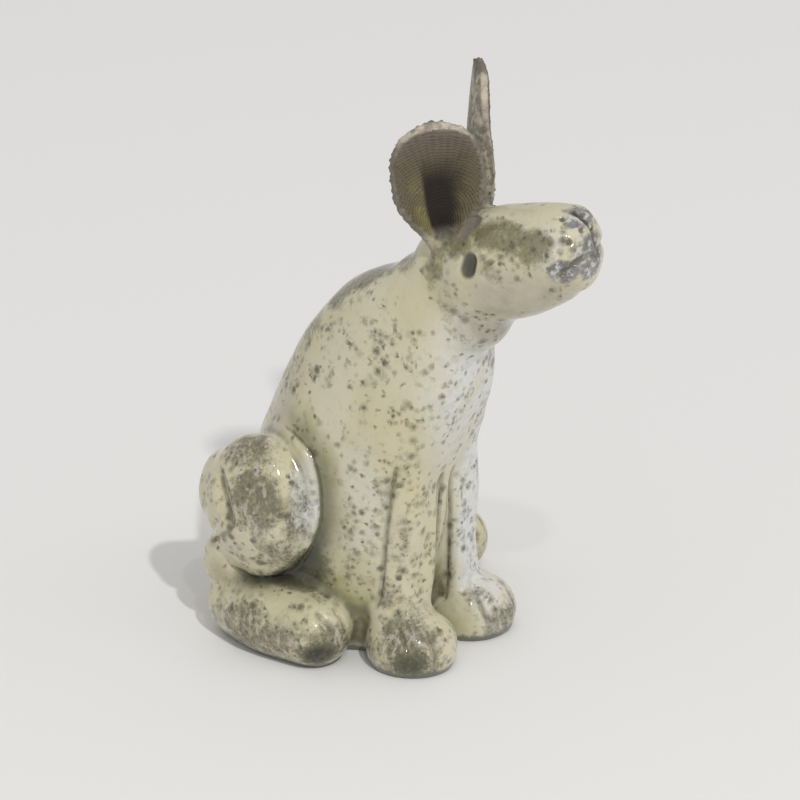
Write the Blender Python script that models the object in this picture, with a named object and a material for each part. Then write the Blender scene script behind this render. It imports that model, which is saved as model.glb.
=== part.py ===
# A seated hare, hand-built in clay and fired as one piece, gazing upwards.
# It faces -Y and stands on a flat underside at Z = 0. Its own left is +X. Metres.

import math

import bmesh
import bpy
import numpy as np
from mathutils import Matrix, Vector
from mathutils.bvhtree import BVHTree

# Driving dimensions
HEIGHT = 0.190  # floor to the tip of the upright ear
EAR_SLAB = 0.0042  # thickness of the rolled slab that the ears are cut from
GROOVE_WIDTH = 0.0030  # of the round-ended tool that drew the legs and toes
GROOVE_DEPTH = 0.0014
JOIN_SOFTNESS = 0.0034  # radius that a wet finger leaves where two pieces of clay meet

# The modelled form's own fineness
VOXEL = EAR_SLAB / 4
TRIANGLES = 9300

# The pose and the proportions are written in millimetres on a figure of this height.
DRAWN_HEIGHT_MM = 191.7
MM = HEIGHT / DRAWN_HEIGHT_MM

GLAZE_COLOUR = (0.62, 0.59, 0.50, 1.0)
GLAZE_ROUGHNESS = 0.25

# Rows of x, y, z, half width and half height: the centre line of a roll of clay, and its size there.
TORSO = [
    (0, 41, -2, 23.5, 28.5),
    (0, 37.5, 18, 27.3, 32.5),
    (0, 34.7, 40, 28, 34.8),
    (0, 31.5, 58, 27.5, 33.9),
    (0, 25.7, 75, 26, 33.4),
    (0, 21, 88, 23.6, 32.6),
    (0, 17, 100, 21.2, 30),
    (0, 12.3, 110, 19.5, 26.8),
    (0, 7.6, 119, 17.5, 23.2),
    (0, -0.5, 126.5, 16, 15.5),
]
HEAD = [
    (0, -2, 127, 15, 15),
    (0.3, -13, 130.8, 16.5, 17.2),
    (1.2, -26, 136.8, 16.5, 17.9),
    (2.6, -36, 141.2, 15.3, 16.5),
    (3.8, -43.3, 144.3, 14, 14.7),
    (4.6, -47.3, 145, 12.6, 13.2),
]
FORELEG = [
    (15.5, 5, 4, 10, 11),
    (14.5, 7.5, 25, 9.2, 9),
    (14, 7.2, 45, 9.5, 10),
    (12.5, 7.5, 62, 9, 11),
    (11, 7, 78, 8, 11),
]
SHIN = [
    (10, 3, 8, 4, 4),
    (8.7, 1.3, 25, 4, 4),
    (8.2, 1, 35, 4, 4),
    (8, 0.8, 47, 4, 4),
    (7.5, 2, 60, 3.6, 4),
]
RIGHT_HIND_FOOT = [
    (-28.5, 55, 10.5, 12, 12),
    (-31, 42, 10.5, 13.5, 12.8),
    (-32, 26, 10, 12.5, 12),
]
LEFT_HIND_FOOT = [
    (30.5, 56, 10.5, 12, 12),
    (38.5, 43, 10.5, 13, 12.5),
    (46, 27.5, 10.5, 11.5, 11.5),
]

# Centres and half sizes of the balls of clay
FOREPAW = ((16, 0, 5.5), (14.5, 15, 12.5))
HAUNCH = ((28, 48.5, 46), (15, 19, 23))
HAUNCH_FOLD = ((26, 61, 46), (11, 11, 15))
HOCK = ((29, 59.5, 25), (9, 9, 11))
THROAT = ((0.3, -10, 117), (14.5, 15, 14))
NOSE = ((4.8, -46, 153.9), (5.5, 7, 5.5))

# Each ear: where its root and its tip are, which way it opens, and how far its back bows out
EAR_HALF_WIDTH_MM = 15.0
NEAR_EAR = ((-9.5, -7.5, 140), (-16.3, -8, 183.6), (-0.75, -0.66, 0.0), 3.0)
FAR_EAR = ((9.5, -7, 140), (22, 1, 190), (0.6, -0.8, 0.0), 2.0)
EAR_CURL_AT_ROOT = math.radians(110)
EAR_CURL_AT_TIP = math.radians(15)

# Lines drawn into the wet clay on both sides, as points near the skin: x outwards from the middle, y, z
LEG_LINES = [
    [(22, 1.5, 68), (22.2, 3.5, 57), (22.8, 4.6, 48), (23.4, 5.5, 39), (24, 6, 30.5), (24.3, 8, 20)],
    [(3, -2.6, 60), (3.5, -1.3, 50), (4, -0.5, 41), (4.5, 0.3, 31), (4.7, 1, 21), (4.7, 2, 13)],
    [(22.3, 0.8, 19), (25.7, -2.5, 14.3), (26.5, -6, 9)],
    [(21.4, -10.8, 12.5), (21.7, -13.3, 7.4), (22, -13, 3.3)],
    [(8.4, -8.8, 13), (8, -11.7, 8.5), (9.2, -12.9, 6.6)],
]
# On the face x is outwards from the middle of the muzzle, which looks a little to the hare's left.
FACE_LINES = [
    [(0.6, -54.2, 145), (3.8, -54.2, 146), (7.4, -53.7, 146), (10.2, -52.6, 145.2), (12.8, -49, 141)],
    [(1.5, -46.4, 158), (2.3, -50.5, 156.5), (1.6, -52.2, 154.8), (0, -52.8, 152), (0, -53.7, 147)],
]
MUZZLE_TURN_PER_MM = 0.0019
# Hind toes start from the toe end of each foot.
TOE_LINES = [[(5.4, -5.4, 19.1), (4.7, -9.9, 14.5)], [(-0.4, -7.8, 18.8), (-1.3, -11.3, 13.2)]]

# Broader presses: the line, then the width and depth in millimetres
EYE = ([(15.7, -20, 139), (15.7, -20, 142)], 6.5, 1.3)
THUMB = ([(39.5, 57.5, 56), (42, 53.5, 50), (42.5, 52, 46)], 8, 3)
FOLD = ([(42.5, 52, 46), (40.4, 58, 42), (37.5, 61.5, 38.5)], 4.5, 2)

# The neck is stroked smooth by hand: the middle and half sizes of the region
NECK = ((0, 0, 118), (30, 38, 20))
NECK_STROKES = 50

SIDES = 28
STEPS = 7
DOME_RINGS = 5
EAR_ROWS = 26
EAR_COLUMNS = 20


def clear_scene():
    for obj in list(bpy.data.objects):
        bpy.data.objects.remove(obj)


def mirrored(rows):
    """The same form on the hare's right side, where X is negative."""
    return [(-row[0], *row[1:]) for row in rows]


def smooth_rows(rows, steps):
    """Rows read from a smooth curve through the given ones, all columns together."""
    knots = np.array(rows, float)
    knots = np.vstack([2 * knots[0] - knots[1], knots, 2 * knots[-1] - knots[-2]])
    found = []
    for i in range(1, len(knots) - 2):
        a, b, c, d = knots[i - 1 : i + 3]
        curve = (2 * b, c - a, 2 * a - 5 * b + 4 * c - d, 3 * b - a - 3 * c + d)
        for t in np.linspace(0, 1, steps, endpoint=False):
            found.append(0.5 * sum(term * t**power for power, term in enumerate(curve)))
    found.append(knots[-2])
    return np.array(found)


def add_ring(bm, centre, along, half_width, half_height, front):
    """An oval across the centre line. A front over 2 squares the half of it that faces forwards."""
    side = (Vector((1, 0, 0)) - along * along.x).normalized()
    up = along.cross(side)
    ring = []
    for i in range(SIDES):
        angle = 2 * math.pi * i / SIDES
        x, y = math.cos(angle), math.sin(angle)
        power = 2 / front if y < 0 else 1.0
        x = math.copysign(abs(x) ** power, x)
        y = math.copysign(abs(y) ** power, y)
        ring.append(bm.verts.new(centre + side * (half_width * x) + up * (half_height * y)))
    return ring


def add_roll(bm, rows, bulge=1.0, upright=False, front=2.0):
    """A closed roll of clay along a centre line, with domed ends. A bulge under 1 flattens them."""
    data = smooth_rows(rows, STEPS) * MM
    centres = [Vector(row[:3]) for row in data]
    tangents = []
    for i in range(len(centres)):
        before, after = centres[max(i - 1, 0)], centres[min(i + 1, len(centres) - 1)]
        tangents.append(Vector((0, 0, 1)) if upright else (after - before).normalized())
    rings = []
    for end in (0, -1):
        outward = -tangents[0] if end == 0 else tangents[-1]
        width, height = data[end][3], data[end][4]
        dome = []
        for k in range(1, DOME_RINGS):
            angle = math.pi / 2 * k / DOME_RINGS
            centre = centres[end] + outward * (math.sin(angle) * min(width, height) * bulge)
            dome.append((centre, tangents[end], width * math.cos(angle), height * math.cos(angle)))
        tip = centres[end] + outward * min(width, height) * bulge
        rings.append((dome, tip))
    (first_dome, first_tip), (last_dome, last_tip) = rings
    profile = first_dome[::-1]
    profile += [(centres[i], tangents[i], data[i][3], data[i][4]) for i in range(len(centres))]
    profile += last_dome
    loops = [add_ring(bm, *station, front) for station in profile]
    for lower, upper in zip(loops, loops[1:]):
        for i in range(SIDES):
            j = (i + 1) % SIDES
            bm.faces.new((lower[i], lower[j], upper[j], upper[i]))
    for loop, tip in ((loops[0], first_tip), (loops[-1], last_tip)):
        pole = bm.verts.new(tip)
        for i in range(SIDES):
            bm.faces.new((loop[i], loop[(i + 1) % SIDES], pole))


def add_ball(bm, centre, half_sizes):
    place = Matrix.Translation(Vector(centre) * MM) @ Matrix.Diagonal((*(Vector(half_sizes) * MM), 1.0))
    bmesh.ops.create_uvsphere(bm, u_segments=SIDES, v_segments=SIDES // 2, radius=1.0, matrix=place)


def ear_half_width(v):
    """The leaf outline of an ear, from its root at v = 0 to its tip at v = 1."""
    rise = 0.3 + 0.7 * math.sin(math.pi / 2 * min(v / 0.48, 1.0)) ** 1.6
    rounding = max(1.0 - max((v - 0.48) / 0.52, 0.0) ** 3, 0.0) ** 0.37
    return EAR_HALF_WIDTH_MM * rise * rounding


def ear_point(ear, u, v):
    """The middle of the slab, u across from -1 to 1 and v along from 0 to 1."""
    root, tip, opening, bow = ear
    root, tip = Vector(root), Vector(tip)
    along = (tip - root).normalized()
    opening = Vector(opening)
    opening = (opening - along * opening.dot(along)).normalized()
    across = along.cross(opening)
    half_width = max(ear_half_width(v), 0.4)
    curl = EAR_CURL_AT_TIP + (EAR_CURL_AT_ROOT - EAR_CURL_AT_TIP) * (1 - v) ** 2
    radius = half_width / curl
    angle = u * curl
    point = root.lerp(tip, v)
    point += across * (radius * math.sin(angle))
    point += opening * (radius * (1 - math.cos(angle)) - bow * math.sin(math.pi * v))
    return point * MM


def add_ear(bm, ear):
    """A slab cut to a leaf, rolled at its root: an open sheet that Solidify thickens."""
    sheet = bmesh.new()
    rows = []
    for k in range(EAR_ROWS + 1):
        v = math.sin(math.pi / 2 * k / EAR_ROWS)
        points = [ear_point(ear, 2 * i / EAR_COLUMNS - 1, v) for i in range(EAR_COLUMNS + 1)]
        rows.append([sheet.verts.new(point) for point in points])
    for lower, upper in zip(rows, rows[1:]):
        for i in range(EAR_COLUMNS):
            sheet.faces.new((lower[i], lower[i + 1], upper[i + 1], upper[i]))
    mesh = bpy.data.meshes.new("ear_sheet")
    sheet.to_mesh(mesh)
    sheet.free()
    leaf = bpy.data.objects.new("ear_sheet", mesh)
    bpy.context.scene.collection.objects.link(leaf)
    slab = leaf.modifiers.new("slab", "SOLIDIFY")
    slab.thickness = EAR_SLAB
    slab.offset = 0.0
    bm.from_mesh(evaluated_mesh(leaf))
    bpy.data.objects.remove(leaf)


def evaluated_mesh(obj):
    bpy.context.view_layer.update()
    return bpy.data.meshes.new_from_object(obj.evaluated_get(bpy.context.evaluated_depsgraph_get()))


def rough_clay():
    """Every roll, ball and slab, still as separate overlapping shells."""
    bm = bmesh.new()
    add_roll(bm, TORSO, bulge=0.5, upright=True, front=3.4)
    add_roll(bm, HEAD, bulge=0.54)
    add_ball(bm, *THROAT)
    add_ball(bm, *NOSE)
    add_roll(bm, RIGHT_HIND_FOOT)
    add_roll(bm, LEFT_HIND_FOOT)
    for pose in (lambda rows: rows, mirrored):
        add_roll(bm, pose(FORELEG), upright=True)
        add_roll(bm, pose(SHIN), upright=True)
        for centre, half_sizes in (FOREPAW, HAUNCH, HAUNCH_FOLD, HOCK):
            add_ball(bm, pose([centre])[0], half_sizes)
    add_ear(bm, NEAR_EAR)
    add_ear(bm, FAR_EAR)
    bmesh.ops.recalc_face_normals(bm, faces=bm.faces)
    mesh = bpy.data.meshes.new("hare")
    bm.to_mesh(mesh)
    bm.free()
    return bpy.data.objects.new("hare", mesh)


def join_clay(hare):
    """One skin over all the shells."""
    remesh = hare.modifiers.new("join", "REMESH")
    remesh.mode = "VOXEL"
    remesh.voxel_size = VOXEL
    hare.data = evaluated_mesh(hare)
    hare.modifiers.remove(remesh)


class Skin:
    """The joined mesh as numpy arrays, for working its surface like clay."""

    def __init__(self, mesh):
        self.mesh = mesh
        self.points = np.empty(len(mesh.vertices) * 3)
        mesh.vertices.foreach_get("co", self.points)
        self.points = self.points.reshape(-1, 3)
        edges = np.empty(len(mesh.edges) * 2, int)
        mesh.edges.foreach_get("vertices", edges)
        self.edges = edges.reshape(-1, 2)
        self.valence = np.bincount(self.edges.ravel(), minlength=len(self.points))[:, None]
        mesh.calc_loop_triangles()
        faces = np.empty(len(mesh.loop_triangles) * 3, int)
        mesh.loop_triangles.foreach_get("vertices", faces)
        self.faces = faces.reshape(-1, 3)

    def gathered(self, index, values):
        count = len(self.points)
        return np.stack([np.bincount(index, values[:, k], count) for k in range(3)], axis=1)

    def towards_neighbours(self):
        """From each point to the middle of its neighbours."""
        first, second = self.edges.T
        total = self.gathered(first, self.points[second]) + self.gathered(second, self.points[first])
        return total / self.valence - self.points

    def normals(self):
        a, b, c = (self.points[self.faces[:, k]] for k in range(3))
        across = np.cross(b - a, c - a)
        total = sum(self.gathered(self.faces[:, k], across) for k in range(3))
        return total / np.maximum(np.linalg.norm(total, axis=1, keepdims=True), 1e-30)

    def soften_joins(self, radius, rounds):
        """Fills each crease that is tighter than the radius, and leaves the rest alone."""
        allowed = VOXEL**2 / (4 * radius)
        for _ in range(rounds):
            step = self.towards_neighbours()
            hollow = (step * self.normals()).sum(axis=1, keepdims=True)
            self.points += step * 0.5 * np.clip(hollow / allowed - 1, 0, 1)

    def press(self, lines, width, depth):
        """Pushes the skin in along lines that are first dropped onto it."""
        tree = BVHTree.FromPolygons(self.points.tolist(), self.faces.tolist())
        away = np.full(len(self.points), np.inf)
        for line in lines:
            stops = [np.array(tree.find_nearest(Vector(point) * MM)[0]) for point in line]
            for start, end in zip(stops, stops[1:]):
                along = end - start
                share = np.clip((self.points - start) @ along / (along @ along), 0, 1)
                gap = self.points - start - share[:, None] * along
                away = np.minimum(away, np.linalg.norm(gap, axis=1))
        near = np.clip(1 - (2 * away / width) ** 2, 0, 1)[:, None]
        self.points -= self.normals() * depth * near**1.5

    def smooth(self, rounds, share=1.0):
        for _ in range(rounds):
            self.points += 0.45 * share * self.towards_neighbours()

    def share_inside(self, centre, half_sizes):
        """1 well inside an oval region, fading to 0 at its edge."""
        reach = (self.points / MM - centre) / half_sizes
        return np.clip(2.5 * (1 - (reach**2).sum(axis=1, keepdims=True)), 0, 1)

    def store(self):
        self.mesh.vertices.foreach_set("co", self.points.ravel())
        self.mesh.update()


def cut_underside(hare):
    """The flat, wiped underside: everything below the floor goes."""
    bm = bmesh.new()
    bmesh.ops.create_cube(bm, size=1.0, matrix=Matrix.Translation((0, 0, -0.5)))
    mesh = bpy.data.meshes.new("floor_cutter")
    bm.to_mesh(mesh)
    bm.free()
    cutter = bpy.data.objects.new("floor_cutter", mesh)
    bpy.context.scene.collection.objects.link(cutter)
    cutter.display_type = "WIRE"
    cutter.hide_render = True
    cut = hare.modifiers.new("underside", "BOOLEAN")
    cut.operation = "DIFFERENCE"
    cut.solver = "EXACT"
    cut.object = cutter


def drawn_lines():
    """Every line of the narrow tool, on both sides."""
    lines = []
    for side in (-1, 1):
        lines += [[(side * x, y, z) for x, y, z in line] for line in LEG_LINES]
        lines += [on_face(line, side) for line in FACE_LINES]
    for side, foot in ((-1, RIGHT_HIND_FOOT), (1, LEFT_HIND_FOOT)):
        toe_x, toe_y = foot[-1][:2]
        lines += [[(toe_x + side * x, toe_y + y, z) for x, y, z in line] for line in TOE_LINES]
    return lines


def on_face(line, side):
    return [(MUZZLE_TURN_PER_MM * y * y + side * x, y, z) for x, y, z in line]


def carve(skin):
    skin.press([on_face(EYE[0], side) for side in (-1, 1)], EYE[1] * MM, EYE[2] * MM)
    for line, width, depth in (THUMB, FOLD):
        skin.press([line, mirrored(line)], width * MM, depth * MM)
    skin.smooth(1)
    skin.press(drawn_lines(), GROOVE_WIDTH, GROOVE_DEPTH)


def thin_out(hare):
    """Fewer triangles where the form is even, more where it turns."""
    thinning = hare.modifiers.new("thin_out", "DECIMATE")
    thinning.ratio = TRIANGLES / (2 * len(hare.data.polygons))
    thinning.use_collapse_triangulate = True


def settle(hare):
    """The finished mesh with nothing left to evaluate, centred over the origin."""
    mesh = evaluated_mesh(hare)
    hare.modifiers.clear()
    hare.data = mesh
    for helper in [obj for obj in bpy.data.objects if obj is not hare]:
        bpy.data.objects.remove(helper)
    corners = np.array([vertex.co for vertex in mesh.vertices])
    middle = (corners.min(axis=0) + corners.max(axis=0)) / 2
    mesh.transform(Matrix.Translation((-middle[0], -middle[1], 0.0)))


def glaze(hare):
    material = bpy.data.materials.new("crackle_white_glaze")
    material.use_nodes = True
    shader = material.node_tree.nodes["Principled BSDF"]
    shader.inputs["Base Color"].default_value = GLAZE_COLOUR
    shader.inputs["Roughness"].default_value = GLAZE_ROUGHNESS
    material.diffuse_color = GLAZE_COLOUR
    hare.data.materials.clear()
    hare.data.materials.append(material)
    hare.data.shade_smooth()


def main():
    clear_scene()
    hare = rough_clay()
    bpy.context.scene.collection.objects.link(hare)
    join_clay(hare)
    skin = Skin(hare.data)
    skin.soften_joins(JOIN_SOFTNESS, 36)
    skin.smooth(NECK_STROKES, skin.share_inside(*NECK))
    skin.smooth(5)
    carve(skin)
    skin.store()
    thin_out(hare)
    cut_underside(hare)
    settle(hare)
    glaze(hare)


main()
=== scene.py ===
# %% [markdown]
# # A hare in smoke-fired raku glaze
#
# The real hare is one piece of fired clay. Its body was built from slabs and rolls, its legs and
# face were drawn into the wet clay with a blunt tool, and its ears were cut from a slab that had been rolled
# out on coarse cloth. A white glaze went over all of it, and the smoke of the firing left it speckled and
# clouded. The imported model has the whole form, on about nine thousand faces. This lesson gives it a fine
# skin, its drawn lines, its rough ears and its glaze.

import math

import bmesh
import bpy
import numpy as np
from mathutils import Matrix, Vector
from mathutils.bvhtree import BVHTree


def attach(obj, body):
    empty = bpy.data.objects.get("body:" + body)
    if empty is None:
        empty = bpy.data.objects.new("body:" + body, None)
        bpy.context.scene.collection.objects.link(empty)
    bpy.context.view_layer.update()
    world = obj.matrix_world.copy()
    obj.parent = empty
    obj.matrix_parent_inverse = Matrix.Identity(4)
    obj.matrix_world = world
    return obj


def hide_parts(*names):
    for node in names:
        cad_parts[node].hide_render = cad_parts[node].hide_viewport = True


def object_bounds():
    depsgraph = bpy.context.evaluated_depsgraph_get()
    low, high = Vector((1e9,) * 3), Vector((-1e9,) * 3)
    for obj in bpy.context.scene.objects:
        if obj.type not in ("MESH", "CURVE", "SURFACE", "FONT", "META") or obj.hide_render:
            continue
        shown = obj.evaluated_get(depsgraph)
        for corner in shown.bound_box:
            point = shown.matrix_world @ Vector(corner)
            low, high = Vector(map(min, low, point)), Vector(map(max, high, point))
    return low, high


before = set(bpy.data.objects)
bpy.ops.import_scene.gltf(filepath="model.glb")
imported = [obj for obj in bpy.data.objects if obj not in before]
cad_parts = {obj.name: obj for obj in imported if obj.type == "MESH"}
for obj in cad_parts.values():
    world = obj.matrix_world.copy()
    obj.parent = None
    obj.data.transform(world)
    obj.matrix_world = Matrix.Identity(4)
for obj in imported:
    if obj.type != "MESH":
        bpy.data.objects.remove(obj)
cad_box = [list(corner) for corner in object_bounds()]
print("packed figure from", cad_box[0], "to", cad_box[1])

# %% [markdown]
# ## Places on the figure
#
# The figure was drawn in millimetres, on a sheet whose zero is on the floor between the forepaws: X to the
# hare's own left, -Y the way that it faces, Z up. Every place in this lesson is given on that drawing, and
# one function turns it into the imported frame. So a line that was measured on the drawing lands on the clay.

# %% Drawing to frame
HEIGHT = 0.190
DRAWN_HEIGHT_MM = 191.7
PER_MM = HEIGHT / DRAWN_HEIGHT_MM
PLAN_MIDDLE = Vector((0.00624, 0.00863, 0.0))


def at(x, y, z):
    """A point of the drawing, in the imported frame."""
    return Vector((x, y, z)) * PER_MM - PLAN_MIDDLE


print("the ear tip is at", tuple(round(value, 4) for value in at(22, 1, 190)))

# %% [markdown]
# ## Camera
#
# The photograph was taken from in front of the hare's right shoulder, a little above it, with almost no
# perspective. A long lens from about 3 m away gives the same view. The camera is placed so that the
# drawing's zero falls on its pixel of the photograph, which saves any shift of the lens.

# %% The photograph's camera
PHOTO_SIZE = 800
PHOTO_ZERO = (441, 642)
AZIMUTH, ELEVATION = math.radians(-55), math.radians(25)
CAMERA_DISTANCE = 3.0 * HEIGHT / (DRAWN_HEIGHT_MM / 1000)
LENS_MM, SENSOR_MM = 431.25, 36.0

back = Vector(
    (
        math.sin(AZIMUTH) * math.cos(ELEVATION),
        -math.cos(AZIMUTH) * math.cos(ELEVATION),
        math.sin(ELEVATION),
    )
)
turn = back.to_track_quat("Z", "Y")
pixel = CAMERA_DISTANCE * SENSOR_MM / LENS_MM / PHOTO_SIZE
right, up = turn @ Vector((1, 0, 0)), turn @ Vector((0, 1, 0))
aside = right * (PHOTO_SIZE / 2 - PHOTO_ZERO[0]) + up * (PHOTO_ZERO[1] - PHOTO_SIZE / 2)

camera = bpy.data.objects.new("camera", bpy.data.cameras.new("camera"))
camera.data.lens = LENS_MM
camera.data.sensor_width = SENSOR_MM
camera.location = at(0, 0, 0) + back * CAMERA_DISTANCE + aside * pixel
camera.rotation_mode = "QUATERNION"
camera.rotation_quaternion = turn
bpy.context.scene.collection.objects.link(camera)
bpy.context.scene.camera = camera
print("one pixel is", round(pixel * 1000, 3), "mm")

# %% [markdown]
# ## Small tools
#
# Some helpers are used all the way through. One turns the sRGB hex of a colour into the linear numbers that
# shaders take. One adds a node to any tree, sets its properties and fills its inputs, where an input is a
# plain value, a socket, or a node whose first output is meant. The others add the nodes that are needed most
# and put a new object into the scene.

# %% Colours and nodes


def linear(hex_colour):
    """An sRGB colour such as "#c8c2a4" as linear RGBA."""
    channels = [int(hex_colour[i : i + 2], 16) / 255 for i in (1, 3, 5)]
    return [c / 12.92 if c <= 0.04045 else ((c + 0.055) / 1.055) ** 2.4 for c in channels] + [1.0]


def add_node(tree, kind, inputs=None, **settings):
    """Adds a node. Inputs go by name or number, and the rest are the node's own properties."""
    node = tree.nodes.new(kind)
    for name, value in settings.items():
        setattr(node, name, value)
    for key, value in (inputs or {}).items():
        if isinstance(value, bpy.types.Node):
            value = next(socket for socket in value.outputs if socket.enabled)
        if isinstance(value, bpy.types.NodeSocket):
            tree.links.new(value, node.inputs[key])
        else:
            node.inputs[key].default_value = value
    return node


def placed(name, data):
    """A new object in the scene."""
    obj = bpy.data.objects.new(name, data)
    bpy.context.scene.collection.objects.link(obj)
    return obj


def maths(tree, operation, a, b=0.0, **settings):
    return add_node(tree, "ShaderNodeMath", {0: a, 1: b}, operation=operation, **settings)


def eased(tree, value, start, end, low=0.0, high=1.0):
    """Low at start, high at end, with a soft turn at both."""
    reading = {"Value": value, 1: start, 2: end, 3: low, 4: high}
    return add_node(tree, "ShaderNodeMapRange", reading, interpolation_type="SMOOTHSTEP")


print("cream is", [round(c, 3) for c in linear("#d8d3b8")])

# %% [markdown]
# ## Geometry trees
#
# A Geometry Nodes tree is a small machine with named dials. Each one here takes the clay in, changes it and
# gives it out again, and ends by making every instance real and giving the clay its glaze. The dials are set
# by their identifiers, the result is kept as a plain mesh, and the modifier is taken off.

# %% Start, finish and run a tree


def start_tree(name, dials):
    """An empty tree with clay in, clay out and the named dials. Returns the tree and the dials."""
    tree = bpy.data.node_groups.new(name, "GeometryNodeTree")
    tree.interface.new_socket("Clay", in_out="INPUT", socket_type="NodeSocketGeometry")
    for dial, kind in dials.items():
        tree.interface.new_socket(dial, in_out="INPUT", socket_type="NodeSocket" + kind)
    tree.interface.new_socket("Clay", in_out="OUTPUT", socket_type="NodeSocketGeometry")
    return tree, tree.nodes.new("NodeGroupInput").outputs


def geometry_of(tree, obj):
    node = add_node(tree, "GeometryNodeObjectInfo", {"Object": obj}, transform_space="RELATIVE")
    return node.outputs["Geometry"]


def pushed_out(tree, mesh, length):
    """The mesh with every point moved this far along its normal."""
    normal = add_node(tree, "GeometryNodeInputNormal")
    offset = add_node(tree, "ShaderNodeVectorMath", {0: normal, "Scale": length}, operation="SCALE")
    return add_node(tree, "GeometryNodeSetPosition", {"Geometry": mesh, "Offset": offset})


def seeded_noise(tree, size, seed, detail):
    inputs = {"Scale": maths(tree, "DIVIDE", 1.0, size), "W": seed, "Detail": detail}
    return add_node(tree, "ShaderNodeTexNoise", inputs, noise_dimensions="4D").outputs[0]


def keep_on_points(tree, mesh, name, value, kind="FLOAT"):
    inputs = {"Geometry": mesh, "Name": name, "Value": value}
    return add_node(tree, "GeometryNodeStoreNamedAttribute", inputs, data_type=kind, domain="POINT")


def finish_tree(tree, clay, material):
    real = add_node(tree, "GeometryNodeRealizeInstances", {"Geometry": clay})
    glazed = add_node(tree, "GeometryNodeSetMaterial", {"Geometry": real, "Material": material})
    add_node(tree, "NodeGroupOutput", {0: glazed})


def plain_mesh(obj):
    bpy.context.view_layer.update()
    return bpy.data.meshes.new_from_object(obj.evaluated_get(bpy.context.evaluated_depsgraph_get()))


def run_tree(obj, tree, dials):
    """Runs the tree once on the object with these settings, and keeps what comes out as its mesh."""
    modifier = obj.modifiers.new(tree.name, "NODES")
    modifier.node_group = tree
    for socket in tree.interface.items_tree:
        if socket.in_out == "INPUT" and socket.name in dials:
            modifier[socket.identifier] = dials[socket.name]
    mesh = plain_mesh(obj)
    obj.modifiers.remove(modifier)
    obj.data = mesh


glaze = bpy.data.materials.new("smoked_raku_glaze")
glaze.use_nodes = True
print("the glaze is ready to be mixed")

# %% [markdown]
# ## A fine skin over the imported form
#
# Wet clay has no facets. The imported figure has, because it is kept small. A voxel remesh lays an even net of
# squares under a millimetre wide over it. Each round of smoothing then pulls every point towards its
# neighbours and pushes it back by a little more, which takes the facets out without thinning the ears.

# %% Remesh and smooth
NET = 0.00093
SMOOTHING_ROUNDS, PULL, PUSH = 14, 0.6, -0.62
WELD = 1e-6

clay = placed("hare_sculpture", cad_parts["hare"].data.copy())
loose = bmesh.new()
loose.from_mesh(clay.data)
bmesh.ops.remove_doubles(loose, verts=loose.verts, dist=WELD)
loose.to_mesh(clay.data)
loose.free()
remesh = clay.modifiers.new("skin", "REMESH")
remesh.mode = "VOXEL"
remesh.voxel_size = NET
clay.data = plain_mesh(clay)
clay.modifiers.clear()


def read_vectors(items, name):
    values = np.empty(len(items) * 3)
    items.foreach_get(name, values)
    return values.reshape(-1, 3)


def points_of(mesh):
    return read_vectors(mesh.vertices, "co")


def normals_of(mesh):
    return read_vectors(mesh.vertices, "normal")


def squared_to(places, stop):
    return ((places - stop) ** 2).sum(axis=1)


def relaxed(mesh, points, shares):
    """The points after moving by each share of the way to the middle of their neighbours."""
    ends = np.empty(len(mesh.edges) * 2, int)
    mesh.edges.foreach_get("vertices", ends)
    first, second = ends.reshape(-1, 2).T
    count = len(points)
    valence = np.bincount(ends, minlength=count)[:, None]
    for share in shares:
        total = [
            np.bincount(first, column[second], count) + np.bincount(second, column[first], count)
            for column in points.T
        ]
        points = points + share * (np.stack(total, axis=1) / valence - points)
    return points


def shape(mesh, points):
    mesh.vertices.foreach_set("co", points.ravel())
    mesh.update()


shape(clay.data, relaxed(clay.data, points_of(clay.data), [PULL, PUSH] * SMOOTHING_ROUNDS))
print("skin of", len(clay.data.polygons), "squares")

# %% [markdown]
# ## Where the tools went
#
# The legs, toes, mouth and nostrils are lines, drawn in the wet clay on both sides. They are written once for
# the hare's left and mirrored. The muzzle turns a little to the hare's left, so the lines of the face are
# measured outwards from its middle. The eyes are short upright presses and the whisker pits are pricks. The
# haunch is a roll of clay that was laid on, and its edge overlaps the body along a pressed crease. Behind it
# a fold of the same roll turns under.

# %% Lines, eyes and pits
LEG_LINES = [
    [(22, 1.5, 68), (22.2, 3.5, 57), (22.8, 4.6, 48), (23.4, 5.5, 39), (24, 6, 30.5), (24.3, 8, 20)],
    [(3, -2.6, 60), (3.5, -1.3, 50), (4, -0.5, 41), (4.5, 0.3, 31), (4.7, 1, 21), (4.7, 2, 13)],
    [(2.5, -1.6, 59.3), (2.1, -1, 50.3), (2.2, -0.3, 41.6), (0.8, 1, 30.6)],
    [(22.3, 0.8, 19), (25.7, -2.5, 14.3), (26.5, -6, 9)],
    [(21.4, -10.8, 12.5), (21.7, -13.3, 7.4), (22, -13, 3.3)],
    [(8.4, -8.8, 13), (8, -11.7, 8.5), (9.2, -12.9, 6.6)],
]
HAUNCH_EDGE = [
    (23.3, 42.6, 71.4), (26.1, 32.9, 70), (27.1, 27.3, 62.1), (27.7, 25.9, 49.6),
    (27.8, 26.9, 42.5), (28, 32.9, 29.9), (28.3, 38.5, 25.3), (32.2, 42.5, 24.3),
    (33.4, 49.5, 23.5), (36.2, 54.3, 25.7),
]
HIP_FOLD = [
    (37.8, 56.7, 58.8), (41.4, 51.4, 54.9), (41.8, 49.7, 48.6), (42.4, 48.9, 43.9),
    (41.5, 53, 38.9), (35.2, 62.3, 32.1),
]
HIND_TOES = {-1: (-32, 26), 1: (46, 27.5)}
TOE_LINES = [[(5.4, -5.4, 19.1), (4.7, -9.9, 14.5)], [(-0.4, -7.8, 18.8), (-1.3, -11.3, 13.2)]]
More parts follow.
